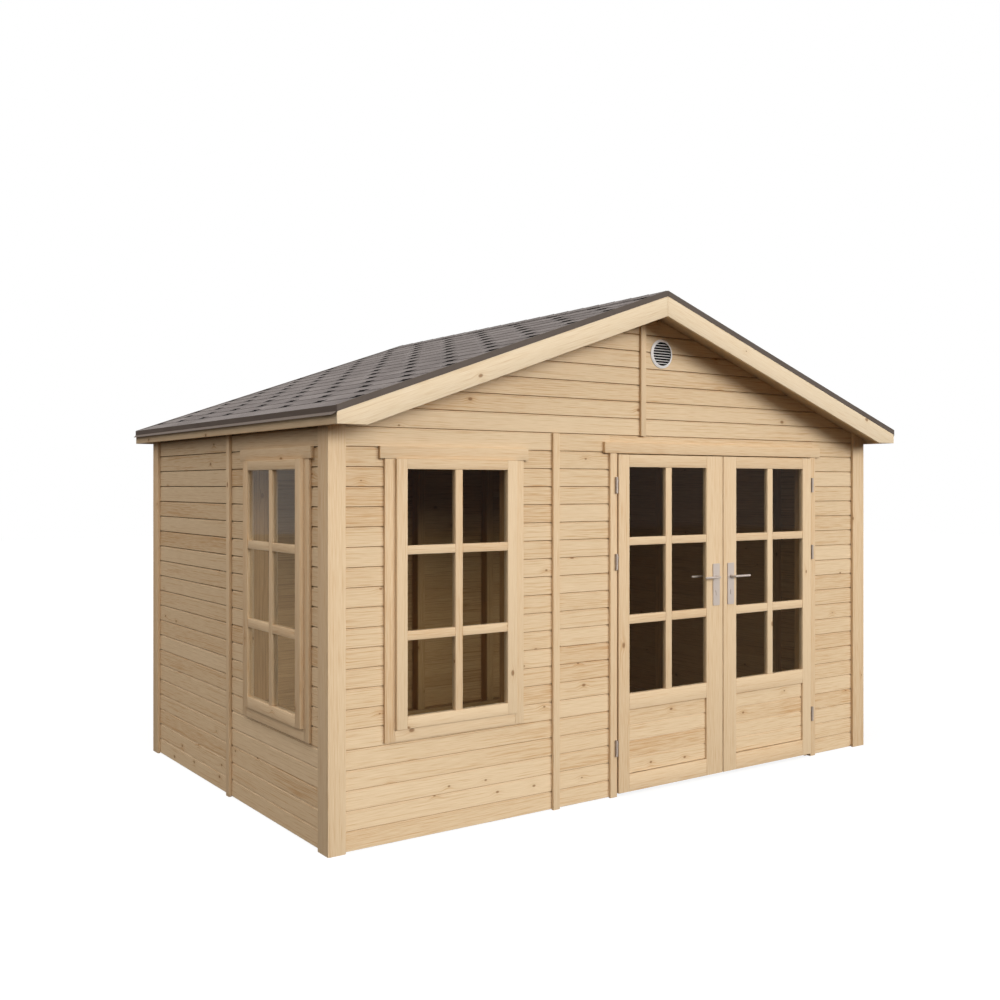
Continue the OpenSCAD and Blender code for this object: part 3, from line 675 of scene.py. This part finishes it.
def cladding(node, facing=0.0, joints=(), windows=(), gable=False, vent=False):
    """The boards of one wall, made as if it faced the front and then turned its own way."""
    draw = random.Random(node)
    low, high = turned_box(*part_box(node), -facing)
    thick = high.y - low.y
    foot = math.ceil((low.z - FIRST_JOINT) / BOARD_PITCH)
    start = FIRST_JOINT + BOARD_PITCH * (foot if gable else -1)
    count = math.ceil((high.z - start) / BOARD_PITCH)
    edges = [low.x, *joints, high.x]
    panels = []
    for x0, x1 in zip(edges, edges[1:]):
        left = x0 + (PANEL_GAP if x0 in joints else 0)
        right = x1 - (PANEL_GAP if x1 in joints else 0)
        panel = weatherboard(left, right, low.y, start, BOARD_PITCH, thick, draw)
        repeat(panel, count, (0, 0, BOARD_PITCH))
        panels.append(panel)
    piece = join(panels)
    at_end = near(math.sin(facing), 0)
    # Walls that face the sides take the darker painted joint shade.
    if not at_end:
        piece.data.materials[BOARD_JOINT] = shaded_joint
    if gable or not at_end:
        saw(piece, high, (0, 0, 1))
    if not gable:
        saw(piece, low, (0, 0, -1))
    for window in windows:
        sash_low, sash_high = turned_box(*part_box(window), -facing)
        lap = Vector((SASH_LAP, 0, SASH_LAP))
        reach = Vector((0, thick, 0))
        cut_out(piece, block(sash_low + lap - reach, sash_high - lap + 2 * reach))
    if gable:
        for side in (-1, 1):
            slope = (side * math.sin(ROOF_PITCH), 0, math.cos(ROOF_PITCH))
            saw(piece, (0, 0, high.z), slope)
    if vent:
        cut_out(piece, disc(VENT_SLEEVE, 4 * thick, (vent_middle.x, low.y, vent_middle.z)))
    piece.rotation_euler.z = facing
    settle(piece)
    dress(piece, node + "_boards", None, nodes=[node])


front_joint = (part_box("front_wall_left")[1].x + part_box("front_wall_middle")[0].x) / 2
side_joint = (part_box("left_wall_front")[1].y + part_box("left_wall_back")[0].y) / 2

cladding("front_wall_left", windows=["front_window_sash"])
cladding("front_wall_middle")
cladding("front_wall_over_door")
cladding("front_wall_right")
cladding("front_gable", gable=True, vent=True)
cladding("back_wall", facing=2 * QUARTER, joints=[front_joint, -front_joint])
cladding("back_gable", facing=2 * QUARTER, gable=True)
cladding("left_wall_front", facing=-QUARTER, windows=["left_window_sash"])
cladding("left_wall_back", facing=-QUARTER)
cladding("right_wall", facing=QUARTER, joints=[-side_joint])

# Framing and trim

for node in ("wall_studs", "wall_rails", "gable_rafters", "roof_beams", "door_frame"):
    timbers_of(node, framing)
for node in ("end_corner_boards", "side_corner_boards", "front_window_casing", "left_window_casing",
             "door_casing", "eave_boards"):
    timbers_of(node, trim)
head_joint = FIRST_JOINT + BOARD_PITCH * HEAD_BOARDS
timbers_of("battens", trim, lift=(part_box("front_gable")[0].z, head_joint))
timbers_of("bargeboards", pale_trim)


# Windows and doors

def glazed_frame(outer_low, outer_high, stiles, rails, bar, bar_heights, draw):
    """Stiles, rails and glazing bars, given as spans, in a plane that faces the front."""
    front, back = outer_low.y, outer_high.y
    parts = [timber((x0, front, outer_low.z), (x1, back, outer_high.z), draw) for x0, x1 in stiles]
    inner_left, inner_right = stiles[0][1], stiles[1][0]
    parts += [timber((inner_left, front, z0), (inner_right, back, z1), draw) for z0, z1 in rails]
    glass_foot, glass_head = rails[-2][1], rails[-1][0]
    bar_front, bar_back = front + BAR_SET_BACK, back - BAR_SET_BACK
    bar_left, bar_right = bar
    bars = [((bar_left, bar_right), (glass_foot, glass_head))]
    for heights in bar_heights:
        bars += [((inner_left, bar_left), heights), ((bar_right, inner_right), heights)]
    for (x0, x1), (z0, z1) in bars:
        parts.append(timber((x0, bar_front, z0), (x1, bar_back, z1), draw, BAR_EASE))
    return join(parts)


def window(side, facing):
    node = side + "_window_sash"
    low, high = turned_box(*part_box(node), -facing)
    middle = (low.x + high.x) / 2
    stiles = ((low.x, low.x + SASH_STILE), (high.x - SASH_STILE, high.x))
    rails = ((low.z, low.z + SASH_BOTTOM_RAIL), (high.z - SASH_TOP_RAIL, high.z))
    bar = (middle - WINDOW_BAR / 2, middle + WINDOW_BAR / 2)
    piece = glazed_frame(low, high, stiles, rails, bar, WINDOW_BAR_HEIGHTS, random.Random(node))
    piece.rotation_euler.z = facing
    settle(piece)
    dress(piece, node + "_frame", trim, nodes=[node])


def door(side, hinge_sign):
    """A leaf's frame and its lower panel's boards. The sign is -1 for hinges on the left."""
    body = side + "_door"
    low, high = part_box(body + "_leaf")
    draw = random.Random(body)
    hinge_x = low.x if hinge_sign < 0 else high.x
    reaches = (HINGE_STILE, HINGE_STILE + DOOR_GLASS)
    inner = sorted(hinge_x - hinge_sign * reach for reach in reaches)
    panel_foot = low.z + LEAF_BOTTOM_RAIL
    panel_head = panel_foot + DOOR_PANEL
    stiles = ((low.x, inner[0]), (inner[1], high.x))
    mid_rail = (panel_head, panel_head + LEAF_MID_RAIL)
    rails = ((low.z, panel_foot), mid_rail, (high.z - LEAF_TOP_RAIL, high.z))
    middle = sum(inner) / 2
    bar = (middle - DOOR_BAR / 2, middle + DOOR_BAR / 2)
    leaf = glazed_frame(low, high, stiles, rails, bar, DOOR_BAR_HEIGHTS, draw)
    dress(leaf, body + "_leaf_frame", trim, body, [body + "_leaf"])
    panel_low, panel_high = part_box(body + "_panel")
    height = DOOR_PANEL / DOOR_PANEL_BOARDS
    panel = weatherboard(panel_low.x, panel_high.x, panel_low.y, panel_foot, height,
                         panel_high.y - panel_low.y, draw)
    panel.data.materials[BOARD_BACK] = boards
    repeat(panel, DOOR_PANEL_BOARDS, (0, 0, height))
    dress(panel, body + "_panel_boards", None, body, [body + "_panel"])


window("front", 0.0)
window("left", -QUARTER)
door("left", -1)
door("right", 1)

# Roof: made flat as the right-hand slope, X down the slope from the ridge and Z square to it

under_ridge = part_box("front_gable")[1].z
eave_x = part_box("roof_boards")[1].x
eave_reach = eave_x / math.cos(ROOF_PITCH)


def pitched(piece, end_x):
    """Two copies of a flat piece on the two slopes, sawn upright at the ridge and the lower end."""
    sides = [piece, copied(piece)]
    for side, heading in zip(sides, (0.0, 2 * QUARTER)):
        place = Matrix.Rotation(heading, 4, "Z") @ Matrix.Translation((0, 0, under_ridge))
        side.matrix_world = place @ Matrix.Rotation(ROOF_PITCH, 4, "Y")
        settle(side)
        outward = Vector((1 if heading == 0 else -1, 0, 0))
        saw(side, (0, 0, 0), -outward)
        saw(side, outward * end_x, outward)
    return join(sides)


def roof_deck():
    """Boards up the slope with a groove along each joint below."""
    low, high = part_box("roof_boards")
    draw = random.Random("roof_boards")
    far_edge = low.y + ROOF_BOARD_W - ROOF_BOARD_GAP
    board = block((-DECK_THICK, low.y, 0), (eave_reach, far_edge, DECK_THICK))
    edit(board)
    pick(board, "edges", lambda at: near(at.z, 0) and 0 < at.x < eave_reach - HAIR)
    bpy.ops.mesh.bevel(offset=ROOF_BOARD_GROOVE, segments=1, affect="EDGES")
    leave()
    lay_grain(board, (1, 0, 0), draw)
    repeat(board, math.ceil((high.y - low.y) / ROOF_BOARD_W), (0, ROOF_BOARD_W, 0))
    saw(board, high, (0, 1, 0))
    dress(pitched(board, eave_x), "roof_board_deck", framing, nodes=["roof_boards"])


def verge_lining():
    """Boards that close the underside of the roof between each gable and its bargeboards."""
    low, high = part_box("roof_boards")
    draw = random.Random("verge_lining")
    face_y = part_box("front_gable")[0].y
    parts = []
    for y0, y1 in ((low.y, face_y), (-face_y, high.y)):
        parts.append(timber((0, y0 + PANEL_GAP, -LINING_DROP),
                            (eave_reach, y1 - PANEL_GAP, LINING_THICK - LINING_DROP), draw))
    piece = pitched(join(parts), eave_x - EAVE_BOARD - PANEL_GAP)
    dress(piece, "verge_lining", trim)


def lay_felt(piece, is_painted_shade):
    """Gritted felt all over, but near-black painted shade on the sides whose middle passes the test.
    """
    piece.data.materials.append(felt)
    piece.data.materials.append(painted_shade_felt)
    for side in piece.data.polygons:
        side.material_index = 1 if is_painted_shade(side.center) else 0


def shingle_course(lower_edge, shift, draw):
    """One strip of tabs, lifted at its lower edge, with a notch between each two tabs."""
    low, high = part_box("shingles")
    length = COURSE + HEADLAP
    notch_end = length - NOTCH_H
    piece = block((0, 0, 0), (notch_end, TAB_W, SHINGLE_THICK))
    edit(piece)
    bpy.ops.mesh.bisect(plane_co=(0, NOTCH_W, 0), plane_no=(0, 1, 0))
    bpy.ops.mesh.select_all(action="SELECT")
    bpy.ops.mesh.bisect(plane_co=(HEADLAP, 0, 0), plane_no=(1, 0, 0))
    pick(piece, "faces", lambda at: near(at.x, notch_end) and at.y > NOTCH_W)
    push(NOTCH_H, 0, 0)
    leave()
    # The notch's floor, end and side take the near-black painted shade.
    lay_felt(piece, lambda at: at.x < HEADLAP or near(at.x, notch_end) or near(at.y, NOTCH_W))
    lay_grain(piece, (0, 1, 0), draw)
    count = math.ceil((high.y - low.y) / TAB_W) + 2
    repeat(piece, count, (0, TAB_W, 0))
    piece.rotation_euler.y = -SHINGLE_LIFT / length
    piece.location = (lower_edge - length, low.y - 2 * TAB_W + shift, DECK_THICK)
    settle(piece)
    return piece


def shingles():
    """All the courses, over a starter strip along the eave."""
    low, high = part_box("shingles")
    draw = random.Random("shingles")
    courses = []
    for number in range(COURSES):
        shift = FIRST_NOTCH + (TAB_W / 2 if number % 2 else 0)
        courses.append(shingle_course(LOWEST_COURSE - number * COURSE, shift, draw))
    starter = block((LOWEST_COURSE - HEADLAP, low.y, DECK_THICK),
                    (eave_reach - HAIR, high.y, DECK_THICK + SHINGLE_THICK + SHINGLE_LIFT))
    edit(starter)
    pick(starter, "verts", lambda at: at.x < LOWEST_COURSE and at.z > DECK_THICK + HAIR)
    bpy.ops.transform.translate(value=(0, 0, -SHINGLE_LIFT))
    bpy.ops.mesh.select_all(action="SELECT")
    bpy.ops.mesh.bisect(plane_co=(LOWEST_COURSE, 0, 0), plane_no=(1, 0, 0))
    leave()
    lay_grain(starter, (0, 1, 0), draw)
    # The starter's part under the lowest course shows through the notches as near-black painted
    # shade.
    lay_felt(starter, lambda at: at.x < LOWEST_COURSE - HAIR)
    piece = join([starter, *courses])
    saw(piece, low, (0, -1, 0))
    saw(piece, high, (0, 1, 0))
    dress(pitched(piece, eave_x), "shingle_courses", None, nodes=["shingles"])


def ridge_capping():
    """Felt pieces bent over the ridge, each lapping the next one."""
    low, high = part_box("ridge_cap")
    draw = random.Random("ridge_cap")
    fall = high.x * math.tan(ROOF_PITCH)
    foot = high.z - (CAP_THICK + CAP_LIFT)
    far_end = low.y + CAP_PIECE
    piece = block((low.x, low.y, foot), (high.x, far_end, foot + CAP_THICK))
    edit(piece)
    bpy.ops.mesh.bisect(plane_co=(0, 0, 0), plane_no=(1, 0, 0))
    pick(piece, "verts", lambda at: abs(at.x) > HAIR)
    bpy.ops.transform.translate(value=(0, 0, -fall))
    pick(piece, "verts", lambda at: near(at.y, low.y))
    bpy.ops.transform.translate(value=(0, 0, CAP_LIFT))
    pick(piece, "edges", lambda at: near(at.x, 0) and at.z > foot - fall
         and low.y + HAIR < at.y < far_end - HAIR)
    bpy.ops.mesh.bevel(offset=CAP_BEND, segments=CAP_BEND_STEPS, affect="EDGES")
    leave()
    lay_grain(piece, (0, 1, 0), draw)
    repeat(piece, math.ceil((high.y - low.y) / CAP_EXPOSED), (0, CAP_EXPOSED, 0))
    saw(piece, high, (0, 1, 0))
    dress(piece, "ridge_capping", felt, nodes=["ridge_cap"])


roof_deck()
verge_lining()
shingles()
ridge_capping()


# Gable vent

def painted_shade_screen():
    """A near-black disc across the vent, behind its louvres: painted shade for the dark inside of the
    vent.
    """
    place = (vent_middle.x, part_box("front_gable")[0].y + SCREEN_BACK, vent_middle.z)
    piece = disc(VENT_BORE - PANEL_GAP, SCREEN_THICK, place)
    ease_edges(piece, SCREEN_THICK / 4, steps=1)
    dress(piece, "vent_painted_shade_screen", painted_shade_sheet)


painted_shade_screen()

# Finishes of the frame's own pieces

OWN_FINISHES = {
    glass: ("front_window_glass", "left_window_glass", "left_door_glass", "right_door_glass"),
    nickel: ("left_door_plates", "right_door_plates", "left_lever", "right_lever"),
    hinge_steel: ("frame_hinges", "left_door_hinges", "right_door_hinges"),
    edging: ("gable_edging", "eave_edging"),
    vent_plastic: ("gable_vent",),
}
for own_finish, names in OWN_FINISHES.items():
    for name in names:
        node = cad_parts[name]
        node.data.materials.clear()
        node.data.materials.append(own_finish)
        smooth(node)


# Floor, light and camera

FLOOR_REACH = 60.0
FLOOR_SHADE_SHARE = 0.3
FLOOR_GLOW = 1.2
FLOOR_BOUNCE = 0.06
FLOOR_PALE = 0.85
FLOOR_GLOSS = 0.9
FLOOR_ROUGHNESS = 0.9
GLOSS_TINT = (1.0, 0.82, 0.62, 1.0)
SKY_LEVEL = 0.1
SKY_RISE = 0.95
SKY_LEFT = 1.75
SKY_LEAST = 0.03
SKY_TINT = (1.0, 0.95, 0.92, 1.0)
FLAG_LEVEL = 0.1
FLAG_EDGES = (-0.2, 0.5)
OPEN_LEVEL = 0.5
FAR_LEVEL = 0.15
FAR_EDGES = (-0.74, -0.58)
SUN_SPREAD = math.radians(22.0)
SUNS = {
    "key": {"strength": 1.2, "height": math.radians(14.0), "swing": math.radians(32.0)},
    "fill": {"strength": 1.4, "height": math.radians(16.0), "swing": math.radians(2.0)},
}
CAMERA_PLACE = (-4.1274, -5.7625, 1.6731)
CAMERA_YAW = math.radians(34.976)
LENS = 40.0
SENSOR = 36.0
HORIZON_ROW = 485.46
PICTURE = 1000.0


def shine(start):
    """What a glossy ray finds: a dark flag right of the shed, open light left of it."""
    back_way = start.node("ShaderNodeNewGeometry", out="Incoming")
    aside = start.node("ShaderNodeSeparateXYZ", {}, {0: back_way})
    flag = fade(aside, *FLAG_EDGES) * (FLAG_LEVEL - OPEN_LEVEL)
    far = fade(aside, *FAR_EDGES) * FAR_LEVEL
    return flag + far + OPEN_LEVEL, aside


def lay_floor():
    """A pale floor that takes soft shadows and shows white to the camera."""
    bpy.ops.object.select_all(action="DESELECT")
    bpy.ops.mesh.primitive_plane_add(size=FLOOR_REACH)
    floor = bpy.context.object
    floor.name = "studio_floor"
    matt = {"Roughness": FLOOR_ROUGHNESS, "Specular IOR Level": 0.0}
    made, shader, start = new_finish("pale_floor", matt)
    seen = start.node("ShaderNodeLightPath", out="Is Camera Ray")
    plug(shader.inputs["Base Color"], seen * (FLOOR_PALE - FLOOR_BOUNCE) + FLOOR_BOUNCE)
    glossy = seen.also("Is Glossy Ray")
    glow = shine(start)[0] * glossy * FLOOR_GLOSS + seen * FLOOR_GLOW
    colour = blended(glossy, WHITE, GLOSS_TINT)
    white = start.node("ShaderNodeEmission", {}, {"Color": colour, "Strength": glow})
    share = seen * (1.0 - FLOOR_SHADE_SHARE) + glossy
    mixed = start.node("ShaderNodeMixShader", {}, {0: share, 1: Flow(shader.outputs[0]), 2: white})
    plug(made.node_tree.nodes["Material Output"].inputs["Surface"], mixed)
    floor.data.materials.append(made)


def light_sky():
    """White to the camera, brighter upwards and to the left for the shed."""
    world = bpy.data.worlds.new("studio")
    world.use_nodes = True
    bpy.context.scene.world = world
    background = world.node_tree.nodes["Background"]
    seen = Flow(background.outputs[0]).node("ShaderNodeLightPath", out="Is Camera Ray")
    shiny, aside = shine(seen)
    rise = 0.0 - aside.also("Z")
    sky = rise.math("MAXIMUM", SKY_LEVEL + rise * (aside * SKY_LEFT + SKY_RISE), SKY_LEAST)
    plug(background.inputs["Color"], blended(seen, SKY_TINT, WHITE))
    glossy = seen.also("Is Glossy Ray")
    plug(background.inputs["Strength"], sky + seen * (1.0 - sky) + glossy * (shiny - sky))


def hang_suns():
    for name, place in SUNS.items():
        sun = bpy.data.lights.new(name, "SUN")
        sun.energy = place["strength"]
        sun.angle = SUN_SPREAD
        lamp = bpy.data.objects.new(name, sun)
        lamp.rotation_euler = (QUARTER - place["height"], 0, place["swing"])
        bpy.context.scene.collection.objects.link(lamp)


def set_camera():
    lens = bpy.data.cameras.new("view")
    lens.lens = LENS
    lens.sensor_width = SENSOR
    lens.shift_y = (HORIZON_ROW - PICTURE / 2) / PICTURE
    camera = bpy.data.objects.new("view", lens)
    camera.location = CAMERA_PLACE
    camera.rotation_euler = (QUARTER, 0, -CAMERA_YAW)
    bpy.context.scene.collection.objects.link(camera)
    bpy.context.scene.camera = camera


lay_floor()
light_sky()
hang_suns()
set_camera()
bpy.context.scene.view_settings.view_transform = "Standard"
